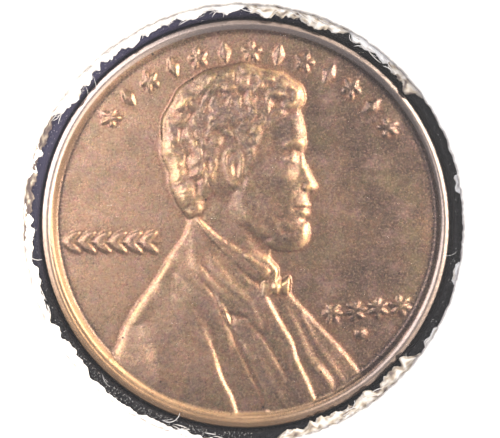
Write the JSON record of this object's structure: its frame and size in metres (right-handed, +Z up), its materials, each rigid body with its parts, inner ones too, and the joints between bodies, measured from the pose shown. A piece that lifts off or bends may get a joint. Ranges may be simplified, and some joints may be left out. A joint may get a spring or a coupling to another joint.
{
  "type": "coin capsule",
  "caption": "Round clear snap-together capsule that holds and shows a small copper coin in a foam ring behind a white card mat.",
  "frame": {"origin": "centre of the face that the closed capsule rests on", "axes": "+Z up, out of the coin's front and through the lid; +Y towards the coin's twelve o'clock; +X to the coin's right"},
  "size_m": [0.0376, 0.0376, 0.006],
  "materials": {
    "clear_base": "gloss",
    "clear_lid": "gloss",
    "black_foam": "matte",
    "white_card": "matte",
    "toned_copper": "satin"
  },
  "bodies": {
    "base": {"base_shell": "clear_base"},
    "ring": {"foam_ring": "black_foam"},
    "coin": {"coin": "toned_copper"},
    "mat": {"card_mat": "white_card"},
    "lid": {"lid_shell": "clear_lid"}
  },
  "joints": [
    {"name": "lid_lift", "type": "slide", "parent": "base", "child": "lid", "axis": [0, 0, 1], "range_m": [0, 0.032]},
    {"name": "mat_lift", "type": "slide", "parent": "base", "child": "mat", "axis": [0, 0, 1], "range_m": [0, 0.024]},
    {"name": "coin_lift", "type": "slide", "parent": "base", "child": "coin", "axis": [0, 0, 1], "range_m": [0, 0.016]},
    {"name": "ring_lift", "type": "slide", "parent": "base", "child": "ring", "axis": [0, 0, 1], "range_m": [0, 0.008]}
  ],
  "couplings": [
    {"joint": "mat_lift", "follows": "lid_lift", "ratio": 0.75},
    {"joint": "coin_lift", "follows": "lid_lift", "ratio": 0.5},
    {"joint": "ring_lift", "follows": "lid_lift", "ratio": 0.25}
  ]
}
